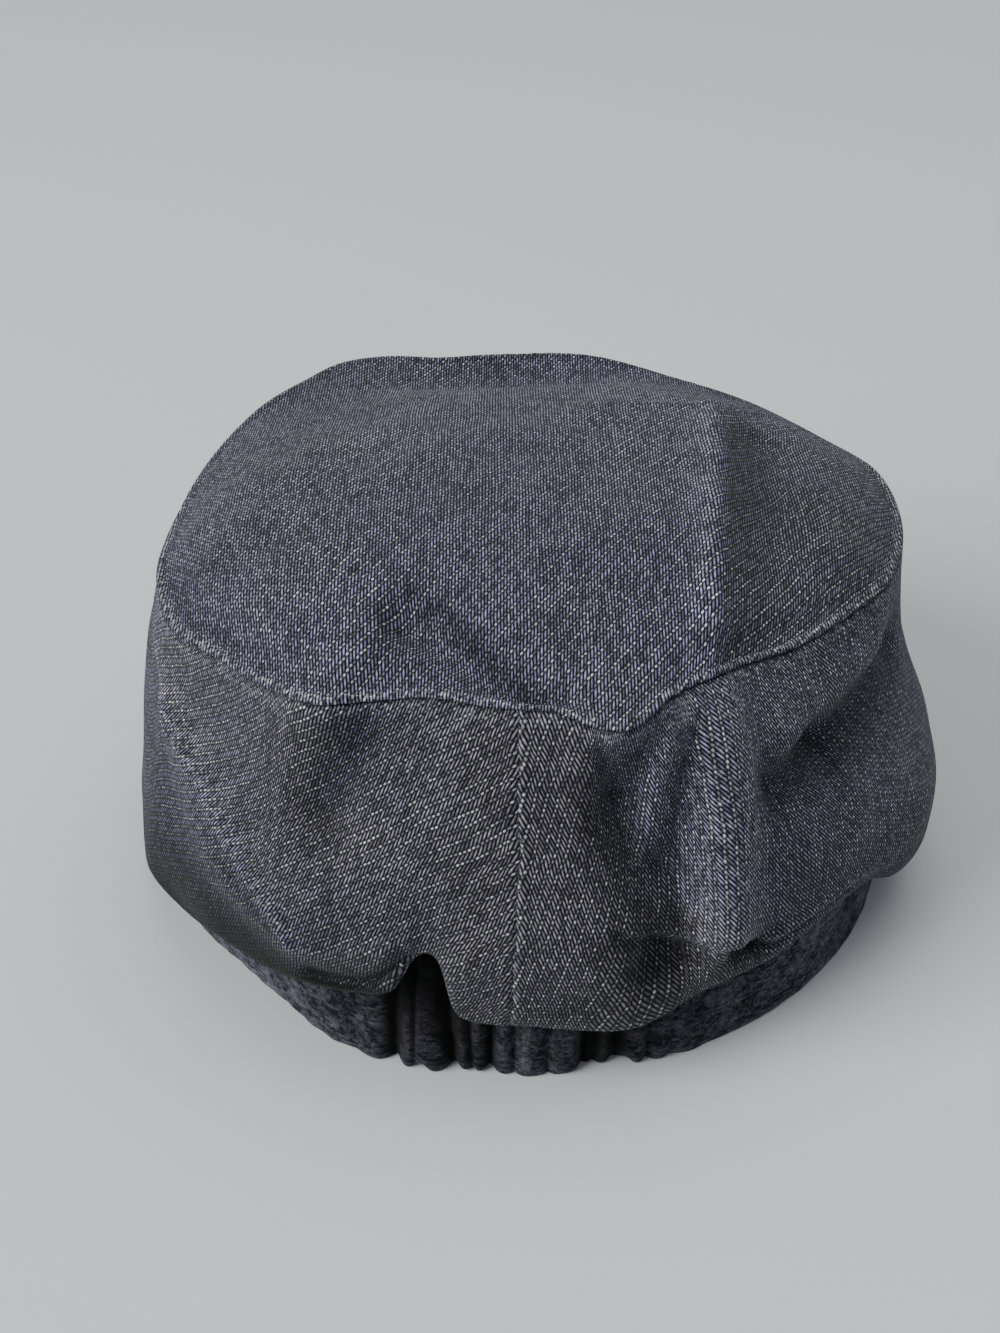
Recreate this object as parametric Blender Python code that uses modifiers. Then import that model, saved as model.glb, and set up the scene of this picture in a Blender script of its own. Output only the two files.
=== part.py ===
"""A soft military cap with a flat-topped crown, resting on a level surface with the back towards -Y.

Four pieces, each a closed solid with a small gap to the next: headband, side_panel, tip and peak.
Every cloth piece is an open surface given its thickness by a Solidify modifier. The surfaces follow
the headband's outer line, an oval, and a position round the cap is an angle from the centre back,
growing towards +X. "Out" is the distance outwards from that oval, measured square to it.
"""

import bmesh
import bpy
import numpy as np

MM = 0.001

# Driving sizes.
BAND_WIDTH = 178 * MM  # over the headband, side to side
BAND_LENGTH = 187 * MM  # over the headband, back to front
BAND_HEIGHT = 33 * MM
BAND_WALL = 2.2 * MM
QUARTER_PRESS = 3.0 * MM  # how far the rear quarter on the -X side is pushed in
SIDE_HEIGHT = 56 * MM  # from the headband's top edge up to the tip's seam
SLOUCH = 10 * MM  # scale of how far the side panel hangs out over the headband
CLOTH = 1.3 * MM
SEAM_GAP = 0.3 * MM  # between neighbouring pieces
TIP_RISE = 15.5 * MM  # middle of the tip above its seam
FOLD = 4 * MM  # scale of the folds in the side panel
DENT = 4 * MM  # scale of the dents in the tip
GATHER = 2.0 * MM  # scale of the gathers in the headband
PEAK_LENGTH = 46 * MM  # forward of the headband at the middle
PEAK_THICK = 3.4 * MM
PEAK_ARCH = 6 * MM  # the peak's middle above its corners
PEAK_HALF_TURN = 56.0  # degrees of the headband the peak covers each side of the front

# The side panel's lower half: how it folds down over the headband and bellies out above it.
# low_out and belly_out are shares of SLOUCH, low_up is a share of BAND_HEIGHT above the table,
# belly_up a share of SIDE_HEIGHT above the headband.
# columns: angle, low_out, low_up, belly_out, belly_up
LOWER_SECTIONS = (
    (0, 0.54, 0.61, 0.75, 0.10),
    (6.5, 0.56, 0.56, 0.80, 0.10),
    (12.5, 0.68, 0.55, 0.85, 0.10),
    (17, 0.55, 0.56, 0.75, 0.12),
    (20.5, 0.50, 0.63, 0.62, 0.12),
    (24, 0.55, 0.70, 0.80, 0.12),
    (33, 0.50, 0.72, 0.70, 0.12),
    (42, 0.40, 0.75, 0.60, 0.15),
    (50, 0.35, 0.74, 0.60, 0.12),
    (57, 0.40, 0.68, 0.75, 0.05),
    (64, 0.60, 0.48, 0.95, -0.05),
    (72, 0.85, 0.30, 1.05, -0.12),
    (80, 0.85, 0.24, 1.00, -0.12),
    (90, 0.80, 0.35, 0.95, -0.10),
    (103, 0.60, 0.60, 0.80, 0.00),
    (118, 0.40, 0.85, 0.55, 0.10),
    (135, 0.15, 1.08, 0.40, 0.25),
    (180, 0.10, 1.12, 0.30, 0.25),
    (225, 0.15, 1.08, 0.35, 0.25),
    (242, 0.35, 0.85, 0.45, 0.10),
    (257, 0.45, 0.55, 0.45, 0.00),
    (270, 0.45, 0.33, 0.40, -0.12),
    (281, 0.50, 0.22, 0.42, -0.20),
    (290, 0.62, 0.38, 0.58, -0.15),
    (298, 0.76, 0.48, 0.84, -0.05),
    (306, 0.66, 0.46, 0.89, 0.00),
    (314, 0.72, 0.55, 0.94, 0.05),
    (323, 0.62, 0.55, 0.91, 0.08),
    (332, 0.64, 0.63, 0.92, 0.10),
    (338, 0.58, 0.69, 0.82, 0.10),
    (342.5, 0.50, 0.76, 0.72, 0.11),
    (344.8, 0.32, 0.98, 0.60, 0.13),
    (346.8, 0.25, 1.06, 0.54, 0.14),
    (349.0, 0.27, 1.01, 0.56, 0.13),
    (350.8, 0.40, 0.68, 0.66, 0.11),
    (353, 0.48, 0.61, 0.72, 0.10),
)

# The side panel's upper half, up to the seam with the tip.
# The outs are shares of SLOUCH, the ups shares of SIDE_HEIGHT above the headband.
# columns: angle, shoulder_out, shoulder_up, seam_out, seam_up
UPPER_SECTIONS = (
    (0, 0.12, 0.55, -0.79, 0.991),
    (4, 0.12, 0.55, -0.70, 0.991),
    (7, 0.15, 0.55, -0.45, 0.970),
    (12, 0.18, 0.55, -0.15, 0.955),
    (16, 0.10, 0.55, -0.40, 0.965),
    (20, 0.05, 0.55, -0.75, 0.990),
    (24, 0.10, 0.55, -0.95, 0.990),
    (33, 0.15, 0.55, -1.05, 0.995),
    (43, 0.05, 0.52, -0.86, 0.990),
    (53, 0.00, 0.50, -0.80, 0.980),
    (67, 0.05, 0.50, -0.45, 0.975),
    (78, 0.06, 0.50, -0.33, 0.970),
    (90, 0.05, 0.50, -0.27, 0.970),
    (103, 0.05, 0.50, -0.26, 0.970),
    (115, 0.06, 0.58, -0.60, 0.960),
    (125, 0.08, 0.66, -0.68, 0.952),
    (137, 0.12, 0.66, -0.66, 0.950),
    (150, 0.08, 0.60, -0.85, 0.970),
    (165, 0.00, 0.55, -1.10, 1.030),
    (180, -0.05, 0.55, -1.40, 1.045),
    (197, -0.05, 0.55, -1.50, 1.060),
    (206, 0.05, 0.55, -0.80, 1.055),
    (214, 0.10, 0.55, -0.50, 1.050),
    (223, 0.05, 0.55, -0.75, 1.045),
    (233, 0.00, 0.55, -0.85, 1.030),
    (244, -0.08, 0.53, -1.02, 1.010),
    (257, -0.10, 0.50, -1.10, 0.990),
    (270, -0.10, 0.50, -1.00, 0.978),
    (280, -0.06, 0.50, -0.70, 0.973),
    (287, -0.01, 0.50, -0.38, 0.970),
    (293, 0.08, 0.52, -0.12, 0.964),
    (304, 0.25, 0.55, 0.28, 0.950),
    (314, 0.33, 0.55, 0.17, 0.964),
    (325, 0.30, 0.55, 0.14, 0.964),
    (332, 0.20, 0.55, 0.12, 0.980),
    (338, 0.13, 0.55, -0.50, 0.982),
    (346, 0.10, 0.55, -0.90, 1.000),
    (356, 0.12, 0.55, -0.85, 0.991),
)

# Where along the side panel's profile each of its points lies: sewn edge, lip over the headband,
# low fold, belly, shoulder, seam.
SIDE_KNOTS = (0.0, 0.06, 0.25, 0.48, 0.74, 1.0)
SIDE_ROWS = (0.0, 0.03, 0.06, 0.12, 0.19, 0.25, 0.31, 0.38, 0.48, 0.58, 0.70, 0.82, 0.92, 1.0)

# Folds in the side panel: ridges, or troughs where the height is negative, from one end to the other.
# Ends are an angle and a place along the profile; width and height are shares of FOLD.
# columns: angle_1, place_1, angle_2, place_2, width, height
SIDE_FOLDS = (
    (28, 0.95, 24, 0.42, 1.4, 1.0),
    (15, 0.97, 12, 0.80, 1.5, -0.4),
    (12, 0.80, 17, 0.50, 1.7, -0.9),
    (72, 0.83, 44, 0.82, 2.0, -1.0),
    (44, 0.82, 34, 0.76, 1.8, -0.9),
    (15, 0.43, 30, 0.38, 1.0, -0.8),
    (-58, 0.75, -34, 0.47, 1.5, 0.6),
    (-66, 0.90, -58, 0.75, 1.6, 0.4),
    (-24, 0.95, -32, 0.72, 2.2, -0.7),
)

# The tip's rise above its seam, as shares of TIP_RISE, at three places between the middle and the seam.
# columns: angle, rise_half, rise_three_quarters, rise_nine_tenths
TIP_SECTIONS = (
    (0, 0.86, 0.44, 0.17),
    (22, 0.89, 0.54, 0.28),
    (45, 0.93, 0.74, 0.45),
    (90, 0.93, 0.66, 0.34),
    (135, 0.80, 0.40, 0.12),
    (180, 0.50, -0.10, -0.08),
    (225, 0.55, 0.00, -0.02),
    (270, 0.85, 0.55, 0.22),
    (315, 0.93, 0.76, 0.48),
    (338, 0.89, 0.54, 0.28),
)
TIP_KNOTS = (-0.5, 0.0, 0.50, 0.75, 0.90, 0.975, 1.0)
TIP_ROWS = (0.0, 0.16, 0.32, 0.46, 0.60, 0.73, 0.84, 0.92, 0.975, 1.0)

# Dents and ridges in the tip. Ends are shares of half the band's width and length; width and height
# are shares of DENT.
# columns: across_1, along_1, across_2, along_2, width, height
TIP_DENTS = (
    (-0.22, -0.78, 0.08, -0.88, 1.6, -0.7),
    (0.53, 0.25, 0.44, -0.66, 1.3, 0.5),
    (0.62, 0.10, 0.58, -0.60, 2.2, -0.5),
)

# Gathers in the back of the headband: grooves pressed inwards. Depth is a share of GATHER.
# columns: angle, half_width in degrees, depth
GATHERS = (
    (-21.5, 1.3, 0.6),
    (-16.0, 1.4, 1.0),
    (-8.3, 1.2, 0.7),
    (-4.2, 1.0, 0.4),
    (3.8, 1.0, 0.3),
    (7.8, 1.0, 0.5),
    (11.8, 1.4, 1.0),
    (15.9, 1.2, 0.6),
)

SIDE_COLUMNS = 97
BAND_COLUMNS = 111
PEAK_COLUMNS, PEAK_ROWS = 25, 6

# Linear colour and roughness of each cloth.
PAINTS = {
    "headband": ((0.028, 0.034, 0.060), 0.90),
    "side_panel": ((0.060, 0.068, 0.092), 0.92),
    "tip": ((0.050, 0.060, 0.088), 0.92),
    "peak": ((0.045, 0.053, 0.078), 0.90),
}


def blend(start, end, start_slope, end_slope, part):
    """Cubic Hermite blend between two values, given their slopes over the whole step."""
    square, cube = part**2, part**3
    return (
        (2 * cube - 3 * square + 1) * start
        + (cube - 2 * square + part) * start_slope
        + (3 * square - 2 * cube) * end
        + (cube - square) * end_slope
    )


def round_the_cap(table, angle):
    """The table's columns after the first, smoothly interpolated at each angle round the full turn."""
    rows = np.asarray(table, float)
    knots = np.concatenate([rows[:, 0] - 360, rows[:, 0], rows[:, 0] + 360])
    values = np.concatenate([rows[:, 1:]] * 3)
    angle = np.mod(angle, 360.0)
    i = np.searchsorted(knots, angle, side="right") - 1
    step = (knots[i + 1] - knots[i])[:, None]

    def slope(k):
        return (values[k + 1] - values[k - 1]) / (knots[k + 1] - knots[k - 1])[:, None]

    part = (angle - knots[i])[:, None] / step
    return blend(values[i], values[i + 1], slope(i) * step, slope(i + 1) * step, part)


def along_profile(points, knots, place):
    """Each row's own profile, smoothly interpolated at that row's place; points is (rows, knots, 2)."""
    knots = np.array(knots)
    last = len(knots) - 1
    row = np.arange(len(place))
    i = np.clip(np.searchsorted(knots, place, side="right") - 1, 0, last - 1)
    step = (knots[i + 1] - knots[i])[:, None]

    def slope(k):
        before, after = np.maximum(k - 1, 0), np.minimum(k + 1, last)
        return (points[row, after] - points[row, before]) / (knots[after] - knots[before])[:, None]

    part = (place - knots[i])[:, None] / step
    return blend(points[row, i], points[row, i + 1], slope(i) * step, slope(i + 1) * step, part)


def band_line(angle, out):
    """X and Y of points a distance out from the headband's outer line."""
    turn = np.radians(angle)
    half_width, half_length = BAND_WIDTH / 2, BAND_LENGTH / 2
    square = np.stack([half_length * np.sin(turn), -half_width * np.cos(turn)], -1)
    square /= np.linalg.norm(square, axis=-1, keepdims=True)
    line = np.stack([half_width * np.sin(turn), -half_length * np.cos(turn)], -1)
    from_quarter = (np.mod(angle, 360.0) - 310.0) / 22.0
    return line + (out - QUARTER_PRESS * np.exp(-(from_quarter**2)))[:, None] * square


def near_line(first, second, ends, width):
    """1 on the straight line between two ends in a plane, falling smoothly to 0 over about a width."""
    start, stop = np.array(ends[:2]), np.array(ends[2:])
    point = np.stack([first, second], -1) - start
    run = stop - start
    part = np.clip(point @ run / (run @ run), 0.0, 1.0)
    return np.exp(-(np.linalg.norm(point - part[:, None] * run, axis=-1) ** 2) / width**2)


def side_folds(angle, place):
    """How far the folds move the side panel outwards."""
    per_degree = np.pi * (BAND_WIDTH + BAND_LENGTH) / 720
    per_place = SIDE_HEIGHT + BAND_HEIGHT
    signed = np.mod(angle + 180.0, 360.0) - 180.0
    lift = np.zeros(len(angle))
    for angle_1, place_1, angle_2, place_2, width, height in SIDE_FOLDS:
        ends = (angle_1 * per_degree, place_1 * per_place, angle_2 * per_degree, place_2 * per_place)
        shape = near_line(signed * per_degree, place * per_place, ends, width * FOLD)
        lift += height * FOLD * shape
    return lift * np.clip((place - 0.25) / 0.1, 0, 1) * np.clip((1.0 - place) / 0.08, 0, 1)


def side_surface(angle, place):
    """Points of the side panel's middle surface, from its sewn edge at place 0 to the tip's seam at 1."""
    low_out, low_up, belly_out, belly_up = round_the_cap(LOWER_SECTIONS, angle).T
    shoulder_out, shoulder_up, seam_out, seam_up = round_the_cap(UPPER_SECTIONS, angle).T
    hangs = np.clip((1.0 - low_up) / 0.3, 0.0, 1.0)
    clear = SEAM_GAP + CLOTH / 2
    out = np.stack(
        [
            np.full(len(angle), -BAND_WALL / 2),
            hangs * (clear + 0.6 * CLOTH) + (1 - hangs) * 0.3 * CLOTH,
            low_out * SLOUCH,
            belly_out * SLOUCH,
            shoulder_out * SLOUCH,
            seam_out * SLOUCH,
        ],
        -1,
    )
    up = np.stack(
        [
            np.full(len(angle), BAND_HEIGHT + clear),
            BAND_HEIGHT + hangs * 0.1 * CLOTH + (1 - hangs) * (clear + CLOTH),
            low_up * BAND_HEIGHT,
            BAND_HEIGHT + belly_up * SIDE_HEIGHT,
            BAND_HEIGHT + shoulder_up * SIDE_HEIGHT,
            BAND_HEIGHT + seam_up * SIDE_HEIGHT,
        ],
        -1,
    )
    point = along_profile(np.stack([out, up], -1), SIDE_KNOTS, place)
    line = band_line(angle, point[:, 0] + side_folds(angle, place))
    return np.column_stack([line, point[:, 1]])


def tip_surface(angle, reach):
    """Points of the tip's middle surface, from its middle at reach 0 to its sewn edge at 1."""
    seam_out, seam_up = round_the_cap(UPPER_SECTIONS, angle).T[2:]
    edge = band_line(angle, seam_out * SLOUCH + CLOTH / 2)
    edge_up = BAND_HEIGHT + seam_up * SIDE_HEIGHT + 0.8 * CLOTH + SEAM_GAP
    half, three_quarters, nine_tenths = round_the_cap(TIP_SECTIONS, angle).T
    none = np.zeros(len(angle))
    rise = np.stack([half, none + 1.0, half, three_quarters, nine_tenths, none, none], -1)
    rise = along_profile(np.stack([rise, rise], -1), TIP_KNOTS, reach)[:, 0]
    level = BAND_HEIGHT + SIDE_HEIGHT + 0.8 * CLOTH + SEAM_GAP
    up = level + (edge_up - level) * reach**4 + rise * TIP_RISE
    even = band_line(angle, np.full(len(angle), -0.5 * SLOUCH))
    line = (even + (edge - even) * reach[:, None] ** 4) * reach[:, None]
    inside = np.clip((1.0 - reach) / 0.06, 0.0, 1.0)
    for across_1, along_1, across_2, along_2, width, height in TIP_DENTS:
        ends = (
            across_1 * BAND_WIDTH / 2,
            along_1 * BAND_LENGTH / 2,
            across_2 * BAND_WIDTH / 2,
            along_2 * BAND_LENGTH / 2,
        )
        up = up + height * DENT * inside * near_line(line[:, 0], line[:, 1], ends, width * DENT)
    return np.column_stack([line, up])


def band_surface(angle, share):
    """Points of the headband's middle surface, share going from its bottom edge to its top edge."""
    signed = np.mod(angle + 180.0, 360.0) - 180.0
    groove = np.zeros(len(angle))
    for place, half_width, depth in GATHERS:
        groove += depth * GATHER * np.exp(-(((signed - place) / half_width) ** 2))
    return np.column_stack([band_line(angle, -BAND_WALL / 2 - groove), share * BAND_HEIGHT])


def peak_surface(side, forward):
    """Points of the peak's middle surface: side runs from -1 to 1, forward from the headband out."""
    angle = 180.0 - side * PEAK_HALF_TURN
    inner = band_line(angle, np.full(len(angle), SEAM_GAP * 1.5))
    ahead = inner - band_line(angle, np.zeros(len(angle)))
    ahead = ahead / np.linalg.norm(ahead, axis=-1, keepdims=True) + np.array([0.0, 1.0])
    ahead /= np.linalg.norm(ahead, axis=-1, keepdims=True)
    crescent = (1.0 - np.abs(side) ** 2.4) ** 0.6
    length = PEAK_LENGTH * (0.08 + 0.92 * crescent)
    line = inner + ahead * (length * forward)[:, None]
    up = 0.6 * PEAK_THICK + PEAK_ARCH * (1.0 - side**2) * (1.0 - 0.3 * forward)
    return np.column_stack([line, up])


def columns(count, half_turn, ratio):
    """Angles from one side of the centre-back seam round to the other, closer together near the back."""
    fine = np.linspace(0.0, 360.0, 1441)
    away = np.minimum(fine, 360.0 - fine)
    density = 1.0 + (ratio - 1.0) / (1.0 + (away / half_turn) ** 4)
    total = np.concatenate([[0.0], np.cumsum(density[1:] + density[:-1])])
    return np.interp(np.linspace(0.0, total[-1], count), total, fine)


def seam_step():
    """Half the gap at the centre-back seam, as an angle in degrees."""
    return np.degrees(SEAM_GAP / BAND_LENGTH)


def add_sheet(name, surface, first, second, thickness, collection):
    """A grid whose columns and rows lie at the given values, moved onto the surface and thickened."""
    grid = bmesh.new()
    bmesh.ops.create_grid(grid, x_segments=len(first) - 1, y_segments=len(second) - 1, size=0.5)
    flat = np.array([vert.co for vert in grid.verts]) + 0.5
    at_first = np.interp(flat[:, 0] * (len(first) - 1), np.arange(len(first)), first)
    at_second = np.interp(flat[:, 1] * (len(second) - 1), np.arange(len(second)), second)
    for vert, point in zip(grid.verts, surface(at_first, at_second)):
        vert.co = point
    bmesh.ops.remove_doubles(grid, verts=grid.verts, dist=0.00002)
    for face in grid.faces:
        face.smooth = True
    mesh = bpy.data.meshes.new(name)
    grid.to_mesh(mesh)
    grid.free()
    obj = bpy.data.objects.new(name, mesh)
    collection.objects.link(obj)
    solid = obj.modifiers.new("thickness", "SOLIDIFY")
    solid.thickness = thickness
    solid.offset = 0.0
    solid.use_even_offset = True
    solid.use_quality_normals = True
    mesh.materials.append(cloth_material(name))
    return obj


def cloth_material(name):
    """A matt cloth in the piece's own colour."""
    colour, roughness = PAINTS[name]
    material = bpy.data.materials.new(name + "_cloth")
    material.use_nodes = True
    shader = material.node_tree.nodes["Principled BSDF"]
    shader.inputs["Base Color"].default_value = (*colour, 1.0)
    shader.inputs["Roughness"].default_value = roughness
    shader.inputs["Metallic"].default_value = 0.0
    return material


def centre_over_origin(objects):
    """Moves the meshes along X and Y together, so the whole cap is centred on the origin."""
    bpy.context.view_layer.update()
    graph = bpy.context.evaluated_depsgraph_get()
    corners = np.concatenate([np.array(obj.evaluated_get(graph).bound_box) for obj in objects])
    middle = (corners.min(axis=0) + corners.max(axis=0)) / 2
    for obj in objects:
        for vert in obj.data.vertices:
            vert.co.x -= middle[0]
            vert.co.y -= middle[1]


def main():
    for obj in list(bpy.data.objects):
        bpy.data.objects.remove(obj, do_unlink=True)
    collection = bpy.data.collections.new("military_cap")
    bpy.context.scene.collection.children.link(collection)

    side_columns = columns(SIDE_COLUMNS, 45.0, 2.2)
    open_ends = np.clip(side_columns, seam_step(), 360.0 - seam_step())
    band_columns = columns(BAND_COLUMNS, 27.0, 5.0)
    band_ends = np.clip(band_columns, seam_step(), 360.0 - seam_step())
    pieces = [
        add_sheet("headband", band_surface, band_ends, (0.0, 0.5, 1.0), BAND_WALL, collection),
        add_sheet("side_panel", side_surface, open_ends, SIDE_ROWS, CLOTH, collection),
        add_sheet("tip", tip_surface, side_columns, TIP_ROWS, CLOTH, collection),
        add_sheet(
            "peak",
            peak_surface,
            np.sin(np.linspace(-np.pi / 2, np.pi / 2, PEAK_COLUMNS)),
            np.linspace(0.0, 1.0, PEAK_ROWS),
            PEAK_THICK,
            collection,
        ),
    ]
    centre_over_origin(pieces)


main()
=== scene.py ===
"""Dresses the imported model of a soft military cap: its cloth, seams, gathers and finish."""

import math

import bmesh
import bpy
import numpy as np
from mathutils import Euler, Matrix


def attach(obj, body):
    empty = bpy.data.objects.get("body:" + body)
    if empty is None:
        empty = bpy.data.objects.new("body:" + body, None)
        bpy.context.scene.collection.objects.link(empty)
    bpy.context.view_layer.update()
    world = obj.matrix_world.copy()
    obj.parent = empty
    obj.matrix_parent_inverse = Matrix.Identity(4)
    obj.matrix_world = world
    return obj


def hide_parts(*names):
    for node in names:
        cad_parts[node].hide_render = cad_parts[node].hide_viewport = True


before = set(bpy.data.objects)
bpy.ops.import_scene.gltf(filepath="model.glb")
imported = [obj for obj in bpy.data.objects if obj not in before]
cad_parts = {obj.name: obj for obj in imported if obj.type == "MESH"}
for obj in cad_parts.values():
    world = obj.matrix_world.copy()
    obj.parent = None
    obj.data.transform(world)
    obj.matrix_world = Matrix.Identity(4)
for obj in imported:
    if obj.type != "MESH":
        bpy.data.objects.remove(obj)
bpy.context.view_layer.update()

bl_info = {
    "name": "Military cap",
    "version": (1, 0, 0),
    "blender": (4, 5, 0),
    "location": "3D View > Sidebar > Cap",
    "description": "Makes the cloth pieces, materials and stage of a soft military cap",
    "category": "Object",
}

MM = 0.001

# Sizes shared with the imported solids.
BAND_WIDTH = 178 * MM
BAND_LENGTH = 187 * MM
BAND_HEIGHT = 33 * MM
BAND_WALL = 2.2 * MM
QUARTER_PRESS = 3.0 * MM
SIDE_HEIGHT = 56 * MM
SLOUCH = 10 * MM
SEAM_GAP = 0.3 * MM
TIP_RISE = 15.5 * MM
FOLD = 4 * MM
DENT = 4 * MM
GATHER = 2.0 * MM
PEAK_LENGTH = 46 * MM
PEAK_THICK = 3.4 * MM
PEAK_ARCH = 6 * MM
PEAK_HALF_TURN = 56.0
CENTRE = np.array([-2.6876, -19.1440, 0.0]) * MM  # from the headband's middle to the origin

# columns: angle, low_out, low_up, belly_out, belly_up
LOWER_SECTIONS = (
    (0, 0.54, 0.61, 0.75, 0.10),
    (6.5, 0.56, 0.56, 0.80, 0.10),
    (12.5, 0.68, 0.55, 0.85, 0.10),
    (17, 0.55, 0.56, 0.75, 0.12),
    (20.5, 0.50, 0.63, 0.62, 0.12),
    (24, 0.55, 0.70, 0.80, 0.12),
    (33, 0.50, 0.72, 0.70, 0.12),
    (42, 0.40, 0.75, 0.60, 0.15),
    (50, 0.35, 0.74, 0.60, 0.12),
    (57, 0.40, 0.68, 0.75, 0.05),
    (64, 0.57, 0.49, 0.96, 0.00),
    (72, 0.76, 0.38, 1.06, 0.00),
    (80, 0.78, 0.34, 1.01, -0.01),
    (90, 0.76, 0.42, 0.95, -0.03),
    (103, 0.60, 0.60, 0.80, 0.00),
    (118, 0.40, 0.85, 0.55, 0.10),
    (135, 0.15, 1.08, 0.40, 0.25),
    (180, 0.10, 1.12, 0.30, 0.25),
    (225, 0.15, 1.08, 0.35, 0.25),
    (242, 0.35, 0.85, 0.45, 0.10),
    (257, 0.45, 0.55, 0.45, 0.00),
    (270, 0.45, 0.33, 0.40, -0.12),
    (281, 0.50, 0.22, 0.42, -0.20),
    (290, 0.62, 0.38, 0.58, -0.15),
    (298, 0.76, 0.48, 0.84, -0.05),
    (306, 0.66, 0.46, 0.89, 0.00),
    (314, 0.72, 0.55, 0.94, 0.05),
    (323, 0.62, 0.55, 0.91, 0.08),
    (332, 0.64, 0.63, 0.92, 0.10),
    (338, 0.58, 0.69, 0.82, 0.10),
    (342.5, 0.50, 0.76, 0.72, 0.11),
    (344.8, 0.32, 0.98, 0.60, 0.13),
    (346.8, 0.25, 1.06, 0.54, 0.14),
    (349.0, 0.27, 1.01, 0.56, 0.13),
    (350.8, 0.40, 0.68, 0.66, 0.11),
    (353, 0.48, 0.61, 0.72, 0.10),
)

# columns: angle, shoulder_out, shoulder_up, seam_out, seam_up
UPPER_SECTIONS = (
    (0, 0.12, 0.55, -0.79, 0.991),
    (4, 0.12, 0.55, -0.70, 0.991),
    (7, 0.15, 0.55, -0.45, 0.970),
    (12, 0.18, 0.55, -0.15, 0.955),
    (16, 0.10, 0.55, -0.40, 0.965),
    (20, 0.05, 0.55, -0.75, 0.990),
    (24, 0.10, 0.55, -0.95, 0.990),
    (33, 0.15, 0.55, -1.05, 0.995),
    (43, 0.05, 0.52, -0.86, 0.990),
    (53, 0.00, 0.50, -0.80, 0.980),
    (67, -0.04, 0.50, -0.45, 0.975),
    (78, -0.04, 0.50, -0.33, 0.970),
    (90, 0.00, 0.50, -0.27, 0.970),
    (103, 0.05, 0.50, -0.26, 0.970),
    (115, 0.06, 0.58, -0.60, 0.960),
    (125, 0.08, 0.66, -0.68, 0.952),
    (137, 0.12, 0.66, -0.66, 0.950),
    (150, 0.08, 0.60, -0.85, 0.970),
    (165, 0.00, 0.55, -1.10, 1.030),
    (180, -0.05, 0.55, -1.40, 1.045),
    (197, -0.05, 0.55, -1.50, 1.060),
    (206, 0.05, 0.55, -0.80, 1.055),
    (214, 0.10, 0.55, -0.50, 1.050),
    (223, 0.05, 0.55, -0.75, 1.045),
    (233, 0.00, 0.55, -0.85, 1.030),
    (244, -0.08, 0.53, -1.02, 1.010),
    (257, -0.10, 0.50, -1.10, 0.990),
    (270, -0.10, 0.50, -1.00, 0.978),
    (280, -0.06, 0.50, -0.70, 0.973),
    (287, -0.01, 0.50, -0.38, 0.970),
    (293, 0.08, 0.52, -0.12, 0.964),
    (304, 0.25, 0.55, 0.28, 0.950),
    (314, 0.33, 0.55, 0.17, 0.964),
    (325, 0.30, 0.55, 0.14, 0.964),
    (332, 0.20, 0.55, 0.12, 0.980),
    (338, 0.13, 0.55, -0.50, 0.982),
    (346, 0.10, 0.55, -0.90, 1.000),
    (356, 0.12, 0.55, -0.85, 0.991),
)
SIDE_KNOTS = (0.0, 0.06, 0.25, 0.48, 0.74, 1.0)

# columns: angle_1, place_1, angle_2, place_2, width, height
SIDE_FOLDS = (
    (28, 0.95, 24, 0.42, 1.4, 1.0),
    (15, 0.97, 12, 0.80, 1.5, -0.4),
    (12, 0.80, 17, 0.50, 1.7, -0.9),
    (72, 0.80, 46, 0.775, 1.8, -1.0),
    (46, 0.775, 35, 0.755, 1.5, -0.9),
    (15, 0.43, 30, 0.38, 1.0, -0.8),
    (-58, 0.75, -34, 0.47, 1.5, 0.6),
    (-66, 0.90, -58, 0.75, 1.6, 0.4),
    (-22.5, 0.97, -28, 0.74, 2.0, -0.7),
)

# Smaller folds: each is a ridge or a valley along a line of (angle, place) points.
# columns: width, height, line
FOLD_LINES = (
    (2.3 * MM, 1.8 * MM, ((24, 0.98), (19.5, 0.94), (17, 0.86), (16, 0.76), (15, 0.66))),
    (3.6 * MM, -2.3 * MM, ((10, 0.95), (11.3, 0.85), (11.5, 0.74), (14, 0.66), (18, 0.635))),
    (1.9 * MM, -1.5 * MM, ((23.5, 0.91), (21.3, 0.85), (20, 0.76), (19.3, 0.68))),
    (1.0 * MM, 0.4 * MM, ((31, 0.84), (30, 0.77), (28.5, 0.69))),
    (2.6 * MM, -1.5 * MM, ((66, 0.80), (56, 0.79), (46, 0.765), (38, 0.75), (34, 0.74))),
    (5.0 * MM, 1.2 * MM, ((62, 0.90), (50, 0.885), (38, 0.87))),
    (1.6 * MM, -1.5 * MM, ((11, 0.52), (15, 0.47), (20.5, 0.43), (23.5, 0.45), (29.5, 0.37))),
    (1.5 * MM, -0.8 * MM, ((18, 0.64), (19.5, 0.60), (20, 0.50), (21.5, 0.45))),
    (1.3 * MM, 1.0 * MM, ((12.5, 0.535), (20.5, 0.465), (24.5, 0.45), (28, 0.42), (32.5, 0.39), (42, 0.37), (54, 0.38))),
    (1.3 * MM, -0.8 * MM, ((26, 0.375), (32, 0.345), (40, 0.335), (50, 0.34))),
    (1.3 * MM, 1.0 * MM, ((-53.5, 0.72), (-47.5, 0.67), (-41, 0.60), (-36, 0.55), (-32, 0.49), (-30, 0.43))),
    (3.0 * MM, -2.2 * MM, ((-28, 0.33), (-21, 0.33), (-17, 0.37))),
    (2.6 * MM, 0.8 * MM, ((-31, 0.41), (-24, 0.43), (-20, 0.44), (-15.5, 0.49))),
)

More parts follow.
